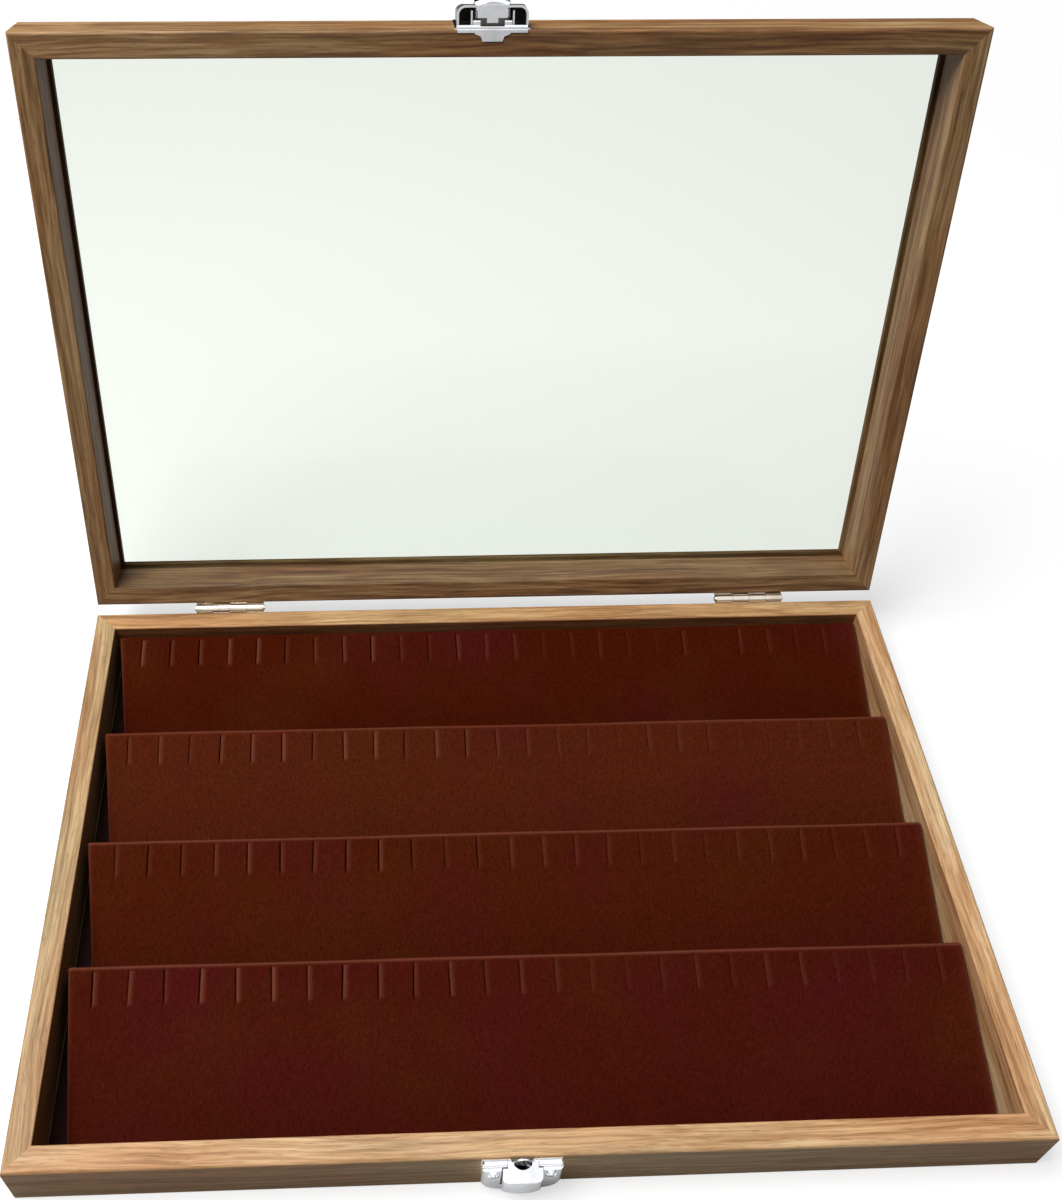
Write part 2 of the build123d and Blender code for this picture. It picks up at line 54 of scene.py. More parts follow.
def linear(code):
    """Linear colour of an sRGB hex value."""
    value = np.array([int(code[i : i + 2], 16) for i in (0, 2, 4)]) / 255
    bright = ((value + 0.055) / 1.055) ** 2.4
    return (*np.where(value <= 0.04045, value / 12.92, bright).tolist(), 1.0)


def add(tree, kind, sockets=None, stops=(), **properties):
    """Adds one node. Each socket gets a value or the output that feeds it, and a ramp gets its stops."""
    node = tree.nodes.new("ShaderNode" + kind)
    for name, value in properties.items():
        setattr(node, name, value)
    for name, value in (sockets or {}).items():
        if isinstance(value, bpy.types.NodeSocket):
            tree.links.new(value, node.inputs[name])
        else:
            node.inputs[name].default_value = value
    for number, (position, code) in enumerate(stops):
        elements = node.color_ramp.elements
        stop = elements[number] if number < 2 else elements.new(position)
        stop.position = position
        stop.color = linear(code)
    return node


def laid_shut(tree, place):
    """A point of the open lid, turned about the hinge axis to where it is when the lid is shut."""
    y, z = hinge_axis
    moved = (0, y - cos(lid_turn) * y + sin(lid_turn) * z, z - sin(lid_turn) * y - cos(lid_turn) * z)
    turn = add(tree, "Mapping", {"Vector": place, "Rotation": (lid_turn, 0, 0), "Location": moved})
    return turn.outputs[0]


def new_material(name, **finish):
    """A material and its Principled shader, with the finish's even values set on its sockets."""
    material = bpy.data.materials.new(name)
    material.use_nodes = True
    shader = material.node_tree.nodes["Principled BSDF"]
    for socket, value in finish.items():
        shader.inputs[socket.replace("_", " ")].default_value = value
    return material, material.node_tree, shader


def dress(material, *names):
    """Gives carried-over nodes their material."""
    for name in names:
        mesh = nodes[name].data
        mesh.materials.clear()
        mesh.materials.append(material)


# Camera at the photograph's place, with the frame's shift.
camera = bpy.data.objects.new("camera", bpy.data.cameras.new("camera"))
camera.location = (-0.0468, -0.26645, 0.46689)
camera.rotation_euler = (radians(42.097), radians(-0.71), radians(-2.088))
camera.data.lens = 39.152
camera.data.sensor_width = 36.0
camera.data.sensor_fit = "AUTO"
camera.data.shift_x = 0.0861
camera.data.shift_y = -0.01235
camera.data.clip_start = 0.01
scene.collection.objects.link(camera)
scene.camera = camera

# Light: one large soft lamp above and to the left, under a pale ceiling that fades towards the horizon.
scene.view_settings.view_transform = "Standard"
key = bpy.data.lights.new("key", "AREA")
key.shape = "RECTANGLE"
key.size = 1.1
key.size_y = 0.9
key.energy = 29
key_object = bpy.data.objects.new("key", key)
key_object.location = (-0.62, 0.05, 1.5)
aim = Vector((0, 0, 0.02)) - key_object.location
key_object.rotation_euler = aim.to_track_quat("-Z", "Y").to_euler()
scene.collection.objects.link(key_object)

# The air is white to the camera and through glass. Matt surfaces get a sky that leans to the left. Metal
# shows a sky that is white above, grey at the horizon in front and dark behind, as in a room round a lit
# table, and a little brighter than the white.
world = bpy.data.worlds.new("studio")
scene.world = world
world.use_nodes = True
air = world.node_tree
air.nodes.clear()
path = add(air, "LightPath")
seen = add(
    air,
    "Math",
    {0: path.outputs["Is Camera Ray"], 1: path.outputs["Is Transmission Ray"]},
    operation="MAXIMUM",
).outputs[0]
in_metal = path.outputs["Is Glossy Ray"]
direction = add(air, "TexCoord").outputs["Generated"]
soft_tones = [(0.1, "030303"), (0.45, "222222"), (0.75, "828282"), (0.95, "B4B4B4")]
leaning = add(
    air,
    "VectorMath",
    {0: direction, 1: (-0.36, 0.06, 0.93)},
    operation="DOT_PRODUCT",
).outputs["Value"]
soft = add(air, "ValToRGB", {"Fac": leaning}, stops=soft_tones)
room_tones = [(0.0, "1C1B1A"), (0.25, "606060"), (0.42, "B0B0B0"), (0.6, "FFFFFF")]
forward = add(
    air,
    "VectorMath",
    {0: direction, 1: (-0.10, -0.36, 0.92)},
    operation="DOT_PRODUCT",
).outputs["Value"]
room = add(air, "ValToRGB", {"Fac": forward}, stops=room_tones)
lit = add(air, "Mix", {0: in_metal, 6: soft.outputs[0], 7: room.outputs[0]}, data_type="RGBA")
air_colour = add(air, "Mix", {0: seen, 6: lit.outputs[2], 7: (1, 1, 1, 1)}, data_type="RGBA")
strength = add(air, "MapRange", {"Value": in_metal, "To Min": 1.0, "To Max": 1.15}).outputs[0]
sky = add(air, "Background", {"Color": air_colour.outputs[2], "Strength": strength})
add(air, "OutputWorld", {"Surface": sky.outputs[0]})

# Floor: a white paper sweep that the camera and glass see as white and that keeps the box's shadow.
# Metal sees the paper with a painted shade next to the case.
floor_mesh = bpy.data.meshes.new("floor")
reach = 3.0
corners = [(-reach, -reach, 0), (reach, -reach, 0), (reach, reach, 0), (-reach, reach, 0)]
floor_mesh.from_pydata(corners, [], [(0, 1, 2, 3)])
floor = bpy.data.objects.new("floor", floor_mesh)
scene.collection.objects.link(floor)
paper, tree, shader = new_material("white paper sweep")
path = add(tree, "LightPath")
seen = add(
    tree,
    "Math",
    {0: path.outputs["Is Camera Ray"], 1: path.outputs["Is Transmission Ray"]},
    operation="MAXIMUM",
).outputs[0]
glow = add(tree, "Emission", {"Color": (1, 1, 1, 1), "Strength": 0.62})
pale = add(tree, "BsdfDiffuse", {"Color": linear("B8B8B8")})
near = add(tree, "AddShader", {0: glow.outputs[0], 1: pale.outputs[0]})
# Past the box's shadow the paper is as white as the air behind it.
place = add(tree, "TexCoord").outputs["Object"]
away = add(tree, "VectorMath", {0: place}, operation="LENGTH").outputs["Value"]
plain = add(tree, "Emission", {"Color": (1, 1, 1, 1), "Strength": 1.0})
past = add(tree, "MapRange", {"Value": away, "From Min": 0.45}).outputs[0]
white = add(tree, "MixShader", {0: past, 1: near.outputs[0], 2: plain.outputs[0]})
# In metal the paper shows its own shading, and far off it fades into the room as the sky above it does.
far = add(tree, "MapRange", {"Value": away, "From Min": 0.6, "From Max": 2.4}).outputs[0]
depth = add(tree, "SeparateXYZ", {0: place}).outputs["Y"]
horizon = add(
    tree,
    "MapRange",
    {"Value": depth, "From Min": -1.5, "To Min": 0.3, "To Max": 0.02},
).outputs[0]
dim = add(tree, "Emission", {"Color": (1, 1, 1, 1), "Strength": horizon})
# In metal the paper has a painted shade next to the case: half as bright up to 6 mm from the case's front,
# and full from 40 mm.
in_front = add(tree, "Math", {0: front_y, 1: depth}, operation="SUBTRACT").outputs[0]
shade = add(
    tree,
    "MapRange",
    {"Value": in_front, "From Min": 0.006, "From Max": 0.04, "To Min": 0.5},
).outputs[0]
sheet_with_painted_shade = add(tree, "BsdfDiffuse", {"Color": shade})
mirrored = add(tree, "MixShader", {0: far, 1: sheet_with_painted_shade.outputs[0], 2: dim.outputs[0]})
grey = add(tree, "BsdfDiffuse", {"Color": linear("5C5C5C")})
unseen = add(
    tree,
    "MixShader",
    {0: path.outputs["Is Glossy Ray"], 1: grey.outputs[0], 2: mirrored.outputs[0]},
)
both = add(tree, "MixShader", {0: seen, 1: unseen.outputs[0], 2: white.outputs[0]})
tree.links.new(both.outputs[0], tree.nodes["Material Output"].inputs["Surface"])
floor_mesh.materials.append(paper)


def veneer(name, side, in_lid, light, ground, dark, inner, seed):
    """Sliced light-brown veneer with its grain along the rail, sanded and finished with a thin satin lacquer.

    Long soft streaks of the light, ground and dark colours come from noise stretched along the grain, with
    thin growth lines where a slower noise crosses its middle, and fine open pores that lie a little deeper.
    The colours are multiplied by the inner colour, a painted shade, on the faces that look into the box.
    The lid's rails are first turned to where they are when it is shut.
    """
    material, tree, shader = new_material(name, Roughness=0.5)
    shader.inputs["Specular IOR Level"].default_value = 0.26
    place = add(tree, "TexCoord").outputs["Object"]
    if in_lid:
        place = laid_shut(tree, place)
    quarter = pi / 2 if side in ("left", "right") else 0.0
    along = add(tree, "Mapping", {"Vector": place, "Rotation": (0, 0, quarter), "Location": (seed, 0, 0)})
    warp = add(tree, "TexNoise", {"Vector": along.outputs[0], "Scale": 11.0, "Detail": 2.0})
    sway = add(tree, "VectorMath", {0: warp.outputs["Color"], 1: (0.0, 0.007, 0.007)}, operation="MULTIPLY")
    grain = add(tree, "VectorMath", {0: along.outputs[0], 1: sway.outputs[0]}, operation="ADD").outputs[0]

    # Each layer's width across the grain and length along it, in millimetres, and its noise's detail.
    layers = {}
    for layer, across, length, detail in (
        ("band", 5.0, 200.0, 2.0),
        ("streak", 1.2, 35.0, 2.0),
        ("fibre", 0.5, 14.0, 1.0),
        ("pore", 0.35, 5.0, 0.0),
        ("growth", 9.0, 250.0, 1.0),
        ("tint", 14.0, 90.0, 1.0),
    ):
        size = (1000 / length, 1000 / across, 1000 / across)
        stretched = add(tree, "Mapping", {"Vector": grain, "Scale": size})
        noise = add(tree, "TexNoise", {"Vector": stretched.outputs[0], "Scale": 1.0, "Detail": detail})
        layers[layer] = noise.outputs["Fac"]
    half = add(tree, "Mix", {0: 0.55, 2: layers["band"], 3: layers["streak"]}, data_type="FLOAT")
    steps = [(0.36, dark), (0.5, ground), (0.62, light)]
    tones = add(tree, "ValToRGB", {"Fac": half.outputs[0]}, stops=steps)
    warm = add(tree, "MapRange", {"Value": layers["tint"], "From Min": 0.4, "From Max": 0.65}).outputs[0]
    pink = add(
        tree,
        "Mix",
        {0: 0.5, 6: tones.outputs[0], 7: linear("E8B898")},
        data_type="RGBA",
        blend_type="MULTIPLY",
    ).outputs[2]
    tinted = add(tree, "Mix", {0: warm, 6: tones.outputs[0], 7: pink}, data_type="RGBA")
    off_line = add(tree, "Math", {0: layers["growth"], 1: 0.5}, operation="SUBTRACT").outputs[0]
    off_line = add(tree, "Math", {0: off_line}, operation="ABSOLUTE").outputs[0]
    line = add(tree, "MapRange", {"Value": off_line, "From Max": 0.02, "To Min": 0.76}).outputs[0]
    fine = add(
        tree,
        "MapRange",
        {"Value": layers["fibre"], "From Min": 0.3, "From Max": 0.7, "To Min": 0.86, "To Max": 1.12},
    ).outputs[0]
    pits = add(
        tree,
        "MapRange",
        {"Value": layers["pore"], "From Min": 0.28, "From Max": 0.4, "To Min": 0.76},
    ).outputs[0]
    shade = add(tree, "Math", {0: fine, 1: pits}, operation="MULTIPLY").outputs[0]
    shade = add(tree, "Math", {0: shade, 1: line}, operation="MULTIPLY").outputs[0]
    colour = add(
        tree,
        "Mix",
        {0: 1.0, 6: tinted.outputs[2], 7: shade},
        data_type="RGBA",
        blend_type="MULTIPLY",
    ).outputs[2]
    # A point is on an inner face, which gets painted shade, where it lies no farther out than half the
    # opening between the rails.
    at = add(tree, "SeparateXYZ", {0: place})
    past = []
    for axis, half_width in zip("XY", opening_half):
        outward = add(tree, "Math", {0: at.outputs[axis]}, operation="ABSOLUTE").outputs[0]
        past.append(add(tree, "Math", {0: outward, 1: half_width}, operation="SUBTRACT").outputs[0])
    farther = add(tree, "Math", {0: past[0], 1: past[1]}, operation="MAXIMUM").outputs[0]
    shaded_inner_face = add(
        tree,
        "MapRange",
        {"Value": farther, "From Min": 0.0001, "From Max": 0.0006, "To Min": 1.0, "To Max": 0.0},
    ).outputs[0]
    # The inner colour darkens the inner faces as painted shade.
    colour = add(
        tree,
        "Mix",
        {0: shaded_inner_face, 6: colour, 7: linear(inner)},
        data_type="RGBA",
        blend_type="MULTIPLY",
    ).outputs[2]
    tree.links.new(colour, shader.inputs["Base Color"])
    relief = add(tree, "Bump", {"Height": pits, "Strength": 0.5, "Distance": 0.00006})
    tree.links.new(relief.outputs[0], shader.inputs["Normal"])
    rough = add(tree, "MapRange", {"Value": layers["fibre"], "To Min": 0.42, "To Max": 0.6}).outputs[0]
    tree.links.new(rough, shader.inputs["Roughness"])
    return material


# Light, ground and dark tone of each rail, which were cut from different leaves of veneer, and the colour
# of painted shade that its inner face is multiplied by.
rail_tones = {
    "base_front_rail": ("E6C799", "D4AE81", "B28A5E", "D8CAC0"),
    "base_rear_rail": ("D6B585", "C39D6C", "9A744C", "C6AA9E"),
    "base_left_rail": ("CCB286", "B4966A", "907250", "D8CAC0"),
    "base_right_rail": ("E8CEA6", "D4B284", "A9835C", "EAE2DC"),
    "lid_front_rail": ("B8986E", "96754E", "6A4C32", "FFFFFF"),
    "lid_rear_rail": ("BE9A70", "9C7852", "6E4E36", "CCCECC"),
    "lid_left_rail": ("B8966C", "98764E", "6C5034", "EFCDA0"),
    "lid_right_rail": ("C2A076", "A48056", "785638", "FFFFFF"),
}
# Half the opening between the rails, along X and along Y.
opening_half = (0.166, 0.111)
for number, (rail, tones) in enumerate(rail_tones.items()):
    part, side, _ = rail.split("_")
    dress(veneer(f"brown veneer {part} {side}", side, part == "lid", *tones, 0.37 * number), rail)


def rise(low, high, value):
    """0 below low, 1 above high and a smooth curve between them."""
    share = np.clip((value - low) / (high - low), 0, 1)
    return share * share * (3 - 2 * share)


def tier_profile(ridge_y, foot_y):
    """Cross-section of a folded board, in millimetres: outer points, their outward normals and inner points.

    The outer points climb the slope from its foot, turn over a ridge of 1.2 mm radius on an arc, and go
    down the riser. Each has a point inside the board, 2.2 mm behind it, for the inner face and the ends.
    """
    back_y = ridge_y + riser_behind
    angle = np.arctan2(apex_z - card_z, back_y - foot_y)
    lift = np.tan(angle)
    centre_y = back_y - ridge_r
    centre = np.array([centre_y, card_z + lift * (centre_y - foot_y) - ridge_r / np.cos(angle)])
    turn = np.linspace(pi / 2 + angle, 0, ridge_points)
    round_the_ridge = np.column_stack([np.cos(turn), np.sin(turn)])
    arc = centre + ridge_r * round_the_ridge
    climb = 1 - (1 - np.linspace(0, 1, slope_points + 1)[:-1]) ** 1.4
    slope = np.array([foot_y, card_z]) + climb[:, None] * (arc[0] - [foot_y, card_z])
    drop = np.linspace(0, 1, riser_points + 1)[1:, None]
    riser = arc[-1] + drop * (np.array([back_y, card_z]) - arc[-1])
    outer = np.vstack([slope, arc, riser])
    up_slope = np.tile(round_the_ridge[0], (slope_points, 1))
    behind = np.tile([1.0, 0.0], (riser_points, 1))
    normal = np.vstack([up_slope, round_the_ridge, behind])
    inner_back = back_y - board
    inner_foot = foot_y + board / np.sin(angle)
    inner_centre_y = inner_back - inner_r
    inner_centre_z = card_z + lift * (inner_centre_y - inner_foot) - inner_r / np.cos(angle)
    inner_arc = np.array([inner_centre_y, inner_centre_z]) + inner_r * round_the_ridge
    inner_slope = np.array([inner_foot, card_z]) + climb[:, None] * (inner_arc[0] - [inner_foot, card_z])
    inner_riser = inner_arc[-1] + drop * (np.array([inner_back, card_z]) - inner_arc[-1])
    return outer, normal, np.vstack([inner_slope, inner_arc, inner_riser])


def suede_tier(number, ridge_y, foot_y, first_slit, slit_pitch, wear):
    """One tier: a folded board in suede, closed at its ends, with a row of cut slits under its ridge.

    The surface is the cross-section run along X. Along X, columns crowd at each slit. The outer face moves
    along its normal by a slow wave, by a V-shaped dip at each slit, by a low hump on the slit's right lip
    where the nap stands up, and inwards at both ends, whose edges it rounds. The left end slants.
    """
    chance = np.random.default_rng(number)
    slits = first_slit + slit_pitch * np.arange(slit_count)
    near = np.array([-1.5, -0.8, -0.42, -0.24, -0.1, 0.06, 0.22, 0.4, 0.7, 1.1, 1.7, 2.6])
    ends = [tier_left, tier_left + 0.12, tier_left + 0.4, tier_left + 0.9, tier_left + 2.5, tier_left + 5.0]
    ends += [tier_right - 4.0, tier_right - 0.9, tier_right - 0.4, tier_right - 0.12, tier_right]
    gaps = (slits[:, None] + slit_pitch * np.array([0.36, 0.52, 0.7])).ravel()
    columns = np.unique(
        np.concatenate([(slits[:, None] + near).ravel(), ends, gaps[gaps < tier_right - 5]]),
    )
    outer, normal, inner = tier_profile(ridge_y, foot_y)
    y = outer[:, 0]
    along = columns[:, None]
    rise_of_slope = outer[mid_slope] - outer[0]
    down = ((ridge_y - y) * np.hypot(*rise_of_slope) / rise_of_slope[0])[None, :]
    in_slit = rise(0.5, 1.1, down) * (1 - rise(slit_length - 0.4, slit_length + 0.9, down))
    fading = 1 - 0.72 * rise(-70, 40, along)
    dip = np.zeros((len(columns), len(outer)))
    lip = dip.copy()
    for slit in slits:
        depth, height, lean = chance.uniform((0.3, 0.15, -0.03), (0.95, 1.0, 0.03))
        off = along - slit - lean * (down - 5)
        dip += depth * np.clip(1 - np.abs(off) / 0.3, 0, 1)
        lip += height * rise(0.0, 0.45, off) * (1 - rise(0.7, 2.4, off))
    dip *= in_slit * fading
    lip *= in_slit * fading
    phase = chance.uniform(0, 2 * pi, 4)
    on_top = rise(26, 0, np.abs(down)) * (normal[:, 1] > 0.02)
    wave = np.sin(along / 17 + phase[0]) * 0.10 + np.sin(along / 7.3 + phase[1]) * 0.04
    swell = 0.12 * np.sin(along / 31 + phase[2]) * np.sin(down / 13 + phase[3])
    wave = wave * on_top + swell * (normal[:, 1] > 0.5)
    from_end = np.minimum(along - columns[0], columns[-1] - along)
    tuck = 0.55 * (1 - np.sqrt(np.clip(1 - (1 - np.clip(from_end / 0.9, 0, 1)) ** 2, 0, 1)))
    foot_fold = 0.5 * np.clip(1 - (y - foot_y) / 1.2, 0, 1) ** 2
    move = wave + 0.3 * lip - 1.5 * dip - tuck - foot_fold
    left = np.interp(y, [foot_y, ridge_y], [tier_left_foot, tier_left])
    slant = np.clip(1 - (along - tier_left) / 7.5, 0, 1)
    x = along + slant * (left - tier_left)
    count, rim = x.shape
    skin = np.stack([x, y + move * normal[:, 0], outer[:, 1] + move * normal[:, 1]], -1)
    lining = np.stack([x, np.broadcast_to(inner[:, 0], x.shape), np.broadcast_to(inner[:, 1], x.shape)], -1)
    ring = np.concatenate([skin, lining[:, ::-1]], 1)
    around = 2 * rim
    index = np.arange(count * around).reshape(count, around)
    onward = np.roll(index, -1, 1)
    sides = np.stack([index[:-1], index[1:], onward[1:], onward[:-1]], -1).reshape(-1, 4)
    p = np.arange(rim - 1)
    q = around - 1 - p
    cap = np.stack([p, p + 1, q - 1, q], -1)
    faces = np.concatenate([sides, index[0][cap], index[-1][cap[:, ::-1]]])
    mesh = bpy.data.meshes.new(f"suede_tier_{number}")
    mesh.from_pydata((ring.reshape(-1, 3) * mm).tolist(), [], faces.tolist())
    mesh.polygons.foreach_set("use_smooth", np.ones(len(faces), bool))
    # Painted light for the suede's colour: a highlight along the ridge as strong as wear gives, highlights on
    # the slits' right lips and along the ends, and painted shade in the cuts.
    ridge_highlight_line = wear * np.exp(-(((down + 0.6) / 0.6) ** 2)) * (normal[:, 1] > 0.1)
    end_highlight = 0.5 * (1 - rise(0.2, 1.2, from_end))
    painted_light = np.clip(ridge_highlight_line + 0.9 * lip + end_highlight, 0, 1) - 1.5 * dip
    painted_light = np.concatenate([painted_light, np.zeros((count, rim))], 1)
    mesh.attributes.new("painted_light", "FLOAT", "POINT").data.foreach_set("value", painted_light.astype(np.float32).ravel())
    piece = bpy.data.objects.new(f"suede_tier_{number}", mesh)
    scene.collection.objects.link(piece)
    return piece


# Tiers, in millimetres: rear to front, each ridge and the foot where its slope meets the card.
ridges = (107.5, 55.5, 3.5, -48.5)
feet = (57.4, 5.4, -46.6, -110.7)
card_z = 4.0
apex_z = 20.92
ridge_r = 1.2
inner_r = 0.2
board = 2.2
riser_behind = 1.6
tier_left = -163.8
tier_left_foot = -158.3
tier_right = 165.0
first_slits = (-154.2, -154.2, -153.1, -154.7)
slit_pitches = (12.65, 12.75, 12.8, 12.9)
slit_count = 25
slit_length = 12.5

# Points of the cross-section on the slope, the ridge and the riser, and one point on the way up the slope.
slope_points, ridge_points, riser_points = 55, 9, 7
mid_slope = 30


def suede_cover(number, tone):
    """Suede glued over board: a fine brushed nap, matt, in patches where it lies each way.

    Slow clouds 40 mm wide lean to purple in one place and to olive in another. Nap brushed up and down the
    slope leaves marks 0.6 mm across and 2 mm long, over a grain of 0.9 mm. Painted shade darkens the cloth
    towards the foot and in the cuts, and painted highlights make it paler along the ridges, on the slits'
    right lips and along the ends.
    """
    material, tree, shader = new_material(f"burgundy suede, tier {number}", Roughness=0.95)
    shader.inputs["Specular IOR Level"].default_value = 0.04
    shader.inputs["Sheen Weight"].default_value = 0.03
    shader.inputs["Sheen Roughness"].default_value = 0.4
    shader.inputs["Sheen Tint"].default_value = linear("C06040")
    place = add(tree, "TexCoord").outputs["Object"]
    leans = []
    for shift, code in ((0.0, "4A0E14"), (0.7, "451E08")):
        moved = add(tree, "Mapping", {"Vector": place, "Location": (shift, number * 0.3, 0)})
        cloud = add(tree, "TexNoise", {"Vector": moved.outputs[0], "Scale": 24.0, "Detail": 3.0})
        share = add(
            tree,
            "MapRange",
            {"Value": cloud.outputs["Fac"], "From Min": 0.48, "From Max": 0.72, "To Max": 0.5},
        ).outputs[0]
        leans.append((share, linear(code)))
    colour = linear(tone)
    for share, code in leans:
        colour = add(tree, "Mix", {0: share, 6: colour, 7: code}, data_type="RGBA").outputs[2]
    brushed = add(tree, "Mapping", {"Vector": place, "Scale": (1600, 480, 480)}).outputs[0]
    brushed = add(tree, "TexNoise", {"Vector": brushed, "Scale": 1.0, "Detail": 2.0, "Roughness": 0.6})
    grain = add(tree, "TexNoise", {"Vector": place, "Scale": 1100.0, "Detail": 2.0, "Roughness": 0.65})
    marks = add(
        tree,
        "Math",
        {0: brushed.outputs["Fac"], 1: grain.outputs["Fac"]},
        operation="ADD",
    ).outputs[0]
    marks = add(
        tree,
        "MapRange",
        {"Value": marks, "From Min": 0.7, "From Max": 1.3, "To Min": 0.68, "To Max": 1.36},
    ).outputs[0]
    # Painted shade: the cloth darkens towards the foot, from 4 mm to 14 mm up.
    height = add(tree, "SeparateXYZ", {0: place}).outputs["Z"]
    painted_foot_shade = add(
        tree,
        "MapRange",
        {"Value": height, "From Min": 0.004, "From Max": 0.014, "To Min": 0.78},
    ).outputs[0]
    colour = add(
        tree,
        "Mix",
        {0: 1.0, 6: colour, 7: marks},
        data_type="RGBA",
        blend_type="MULTIPLY",
    ).outputs[2]
    colour = add(
        tree,
        "Mix",
        {0: 1.0, 6: colour, 7: painted_foot_shade},
        data_type="RGBA",
        blend_type="MULTIPLY",
    ).outputs[2]
    # Painted highlights where the attribute is above 0, and painted shade in the cuts where it is below.
    painted_light = add(tree, "Attribute", attribute_name="painted_light").outputs["Fac"]
    painted_highlight = add(tree, "MapRange", {"Value": painted_light, "To Max": 0.9}).outputs[0]
    colour = add(tree, "Mix", {0: painted_highlight, 6: colour, 7: linear("74402F")}, data_type="RGBA").outputs[2]
    painted_slit_shade = add(
        tree,
        "MapRange",
        {"Value": painted_light, "From Min": -0.6, "From Max": 0.0, "To Min": 1.0, "To Max": 0.0},
    ).outputs[0]
    colour = add(tree, "Mix", {0: painted_slit_shade, 6: colour, 7: linear("2A0602")}, data_type="RGBA").outputs[2]
    tree.links.new(colour, shader.inputs["Base Color"])
    relief = add(tree, "Bump", {"Height": marks, "Strength": 0.5, "Distance": 0.00025})
    tree.links.new(relief.outputs[0], shader.inputs["Normal"])
    return material


tier_tones = ("401102", "4D1C0B", "451605", "431207")
# How bright the painted highlight is along each ridge.
ridge_highlight = (0.0, 0.6, 0.75, 0.75)
tiers = zip(ridges, feet, first_slits, slit_pitches, ridge_highlight)
for number, (row, tone) in enumerate(zip(tiers, tier_tones), 1):
    piece = suede_tier(number, *row)
    piece.data.materials.append(suede_cover(number, tone))
    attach(piece, "case_base")
    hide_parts(f"insert_tier_{number}")

# Dark card under the tiers: matt, with paper fibres of 0.7 mm and clouds of 17 mm where the pulp is thicker.
lining, tree, shader = new_material("brown card", Roughness=0.92)
shader.inputs["Specular IOR Level"].default_value = 0.15
place = add(tree, "TexCoord").outputs["Object"]
cloud = add(tree, "TexNoise", {"Vector": place, "Scale": 60.0, "Detail": 3.0})
pulp = add(tree, "TexNoise", {"Vector": place, "Scale": 1400.0, "Detail": 1.0})
mixed = add(tree, "Mix", {0: 0.4, 2: cloud.outputs["Fac"], 3: pulp.outputs["Fac"]}, data_type="FLOAT")
card_tones = [(0.35, "140604"), (0.5, "1B0906"), (0.65, "24100A")]
tones = add(tree, "ValToRGB", {"Fac": mixed.outputs[0]}, stops=card_tones)
tree.links.new(tones.outputs[0], shader.inputs["Base Color"])
relief = add(tree, "Bump", {"Height": pulp.outputs["Fac"], "Strength": 0.3, "Distance": 0.0001})
tree.links.new(relief.outputs[0], shader.inputs["Normal"])
dress(lining, "insert_base_card")

# Bottom of thin beech plywood, sanded and left raw: pale, matt, with short dark flecks 0.3 mm across and
# 3 mm long, and slow bands 12 mm across.
plywood, tree, shader = new_material("raw beech plywood", Roughness=0.75)
shader.inputs["Specular IOR Level"].default_value = 0.25
place = add(tree, "TexCoord").outputs["Object"]
bands = add(tree, "Mapping", {"Vector": place, "Scale": (6.0, 83.0, 83.0)})
bands = add(tree, "TexNoise", {"Vector": bands.outputs[0], "Scale": 1.0, "Detail": 3.0})
flecks = add(tree, "Mapping", {"Vector": place, "Scale": (330.0, 3300.0, 3300.0)})
flecks = add(tree, "TexNoise", {"Vector": flecks.outputs[0], "Scale": 1.0, "Detail": 0.0})
beech_tones = [(0.35, "A98660"), (0.5, "BE9C74"), (0.65, "CCAD86")]
tones = add(tree, "ValToRGB", {"Fac": bands.outputs["Fac"]}, stops=beech_tones)
fleck = add(
    tree,
    "MapRange",
    {"Value": flecks.outputs["Fac"], "From Min": 0.25, "From Max": 0.4, "To Min": 0.7},
).outputs[0]
colour = add(
    tree,
    "Mix",
    {0: 1.0, 6: tones.outputs[0], 7: fleck},
    data_type="RGBA",
    blend_type="MULTIPLY",
).outputs[2]
tree.links.new(colour, shader.inputs["Base Color"])
relief = add(tree, "Bump", {"Height": fleck, "Strength": 0.4, "Distance": 0.00005})
tree.links.new(relief.outputs[0], shader.inputs["Normal"])
dress(plywood, "base_bottom_panel")


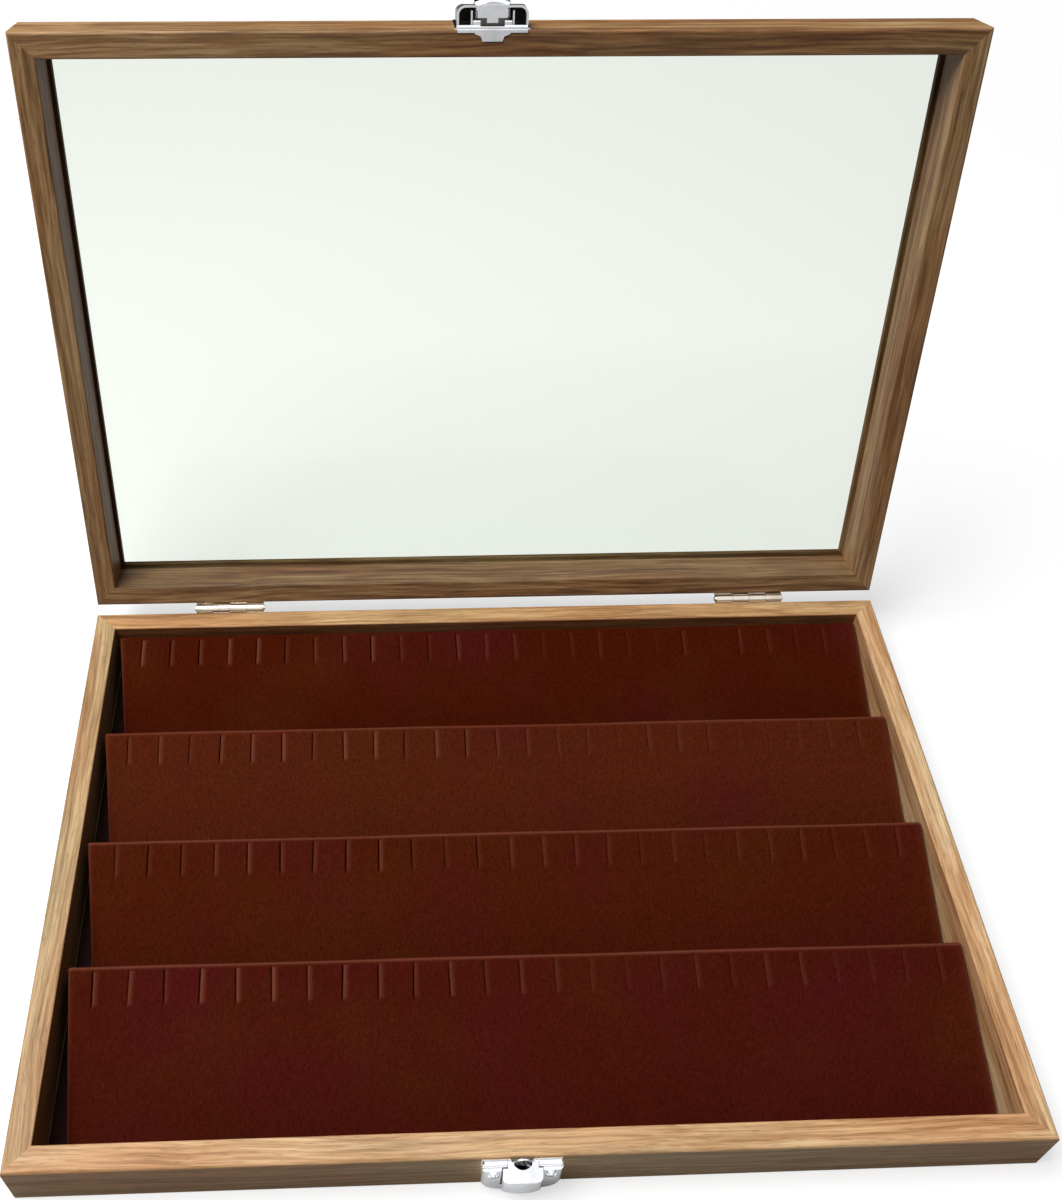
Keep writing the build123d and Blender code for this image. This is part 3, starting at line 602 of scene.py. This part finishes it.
def plated(name, light, dark, smooth, worn, wave, painted_shade_region=None):
    """Bright plating on pressed steel: a mirror with faint waves from the press and fine scratches.

    The waves are 5 mm long. The scratches are noise 0.15 mm across and 4 mm long, in two directions, and make
    the surface a little rougher where they lie. Handling leaves slow dull clouds 8 mm wide. Where a shaded
    region is given, a number from 0 outside it to 1 inside, the colour gets a painted shade there and the
    finish is rougher.
    """
    material, tree, shader = new_material(name, Metallic=1.0, Roughness=smooth)
    place = add(tree, "TexCoord").outputs["Object"]
    waves = add(tree, "TexNoise", {"Vector": place, "Scale": 200.0, "Detail": 1.0})
    clouds = add(tree, "TexNoise", {"Vector": place, "Scale": 125.0, "Detail": 3.0})
    marks = []
    for turned in (0.35, -0.9):
        stretched = {"Vector": place, "Rotation": (turned, 0.6, turned), "Scale": (250.0, 6600.0, 6600.0)}
        lines = add(tree, "Mapping", stretched).outputs[0]
        marks.append(add(tree, "TexNoise", {"Vector": lines, "Scale": 1.0, "Detail": 1.0}).outputs["Fac"])
    scratch = add(tree, "Math", {0: marks[0], 1: marks[1]}, operation="MAXIMUM").outputs[0]
    scratch = add(tree, "MapRange", {"Value": scratch, "From Min": 0.7, "From Max": 0.8}).outputs[0]
    dull = add(
        tree,
        "MapRange",
        {"Value": clouds.outputs["Fac"], "From Min": 0.5, "From Max": 0.8},
    ).outputs[0]
    wear = add(tree, "Math", {0: scratch, 1: dull}, operation="MAXIMUM").outputs[0]
    rough = add(tree, "MapRange", {"Value": wear, "To Min": smooth, "To Max": worn}).outputs[0]
    tone = add(tree, "Mix", {0: wear, 6: linear(light), 7: linear(dark)}, data_type="RGBA").outputs[2]
    if painted_shade_region:
        # Painted shade inside the given region, with a rougher finish there.
        shade_inside = painted_shade_region(tree, place)
        tone = add(tree, "Mix", {0: shade_inside, 6: tone, 7: linear("8A8680")}, data_type="RGBA").outputs[2]
        rough = add(tree, "Mix", {0: shade_inside, 2: rough, 3: 0.55}, data_type="FLOAT").outputs[0]
    tree.links.new(rough, shader.inputs["Roughness"])
    tree.links.new(tone, shader.inputs["Base Color"])
    swell = add(tree, "Bump", {"Height": waves.outputs["Fac"], "Strength": 1.0, "Distance": wave})
    groove = {"Height": scratch, "Strength": 0.1, "Distance": 0.000004, "Normal": swell.outputs[0]}
    cut = add(tree, "Bump", groove)
    tree.links.new(cut.outputs[0], shader.inputs["Normal"])
    return material


def inside_the_catch(tree, place):
    """How far a point is inside the catch's cover: 0 outside, 1 inside.

    The open lid is turned shut first. Then a point is inside where it is nearer to the axis of the cover's
    round front than the middle of its 0.8 mm wall, behind its two ends, and above its foot.
    """
    at = add(tree, "SeparateXYZ", {0: laid_shut(tree, place)})
    centre_y, centre_z, radius = cover_round
    spot = add(tree, "CombineXYZ", {"Y": at.outputs["Y"], "Z": at.outputs["Z"]}).outputs[0]
    axis = (0, centre_y, centre_z)
    from_axis = add(tree, "VectorMath", {0: spot, 1: axis}, operation="DISTANCE").outputs["Value"]
    within = add(
        tree,
        "MapRange",
        {"Value": from_axis, "From Min": radius + 0.0002, "From Max": radius - 0.0002},
    ).outputs[0]
    aside = add(tree, "Math", {0: at.outputs["X"], 1: latch_x}, operation="SUBTRACT").outputs[0]
    aside = add(tree, "Math", {0: aside}, operation="ABSOLUTE").outputs[0]
    between = add(tree, "MapRange", {"Value": aside, "From Min": 0.0125, "From Max": 0.0122}).outputs[0]
    above = add(
        tree,
        "MapRange",
        {"Value": at.outputs["Z"], "From Min": catch_foot_z + 0.0006, "From Max": catch_foot_z + 0.001},
    ).outputs[0]
    both = add(tree, "Math", {0: within, 1: between}, operation="MULTIPLY").outputs[0]
    return add(tree, "Math", {0: both, 1: above}, operation="MULTIPLY").outputs[0]


# Middle of the latch, foot of the catch, and axis (y, z) and radius of its cover's round front, with the lid
# shut.
latch_x = -0.0048
catch_foot_z = 0.0252
cover_round = (-0.11471, 0.02611, 0.01302)
chrome = plated("bright chrome plate", "F6F8FC", "DCDDDE", 0.06, 0.14, 0.00003)
dress(chrome, "latch_plate", "latch_plate_screws", "latch_lever")
# Inside the catch's cover the chrome gets a painted shade.
chrome_shaded_inside = "bright chrome plate, painted shade inside"
catch_chrome = plated(chrome_shaded_inside, "F6F8FC", "DCDDDE", 0.06, 0.14, 0.00003, inside_the_catch)
dress(catch_chrome, "catch_plate", "catch_housing", "catch_screws")
nickel = plated("bright nickel plate", "DCD5C8", "B4AB9B", 0.16, 0.34, 0.00002)
dress(nickel, *[n for n in nodes if n.startswith("hinge_")], "base_hinge_screws", "lid_hinge_screws")
spring_steel = plated("blued spring steel", "2E3140", "23222A", 0.22, 0.4, 0.000005)
dress(spring_steel, "latch_spring")
pin_steel = plated("oiled steel", "5A554E", "3A352F", 0.25, 0.45, 0.000005)
dress(pin_steel, "latch_pivot_pin")

# Thin float glass, polished by how it is made: clear with a pale green cast. Its index is below the usual
# 1.52, to match reflections that hardly show. Lamps shine through it.
glass, tree, shader = new_material("float glass", Transmission_Weight=1.0, Roughness=0.0, IOR=1.2)
shader.inputs["Base Color"].default_value = linear("E7ECE5")
path = add(tree, "LightPath")
through = add(
    tree,
    "Math",
    {0: path.outputs["Is Shadow Ray"], 1: path.outputs["Is Diffuse Ray"]},
    operation="MAXIMUM",
).outputs[0]
open_to_light = add(tree, "BsdfTransparent", {"Color": linear("F2F6F1")})
both = add(tree, "MixShader", {0: through, 1: shader.outputs[0], 2: open_to_light.outputs[0]})
tree.links.new(both.outputs[0], tree.nodes["Material Output"].inputs["Surface"])
dress(glass, "lid_glass")
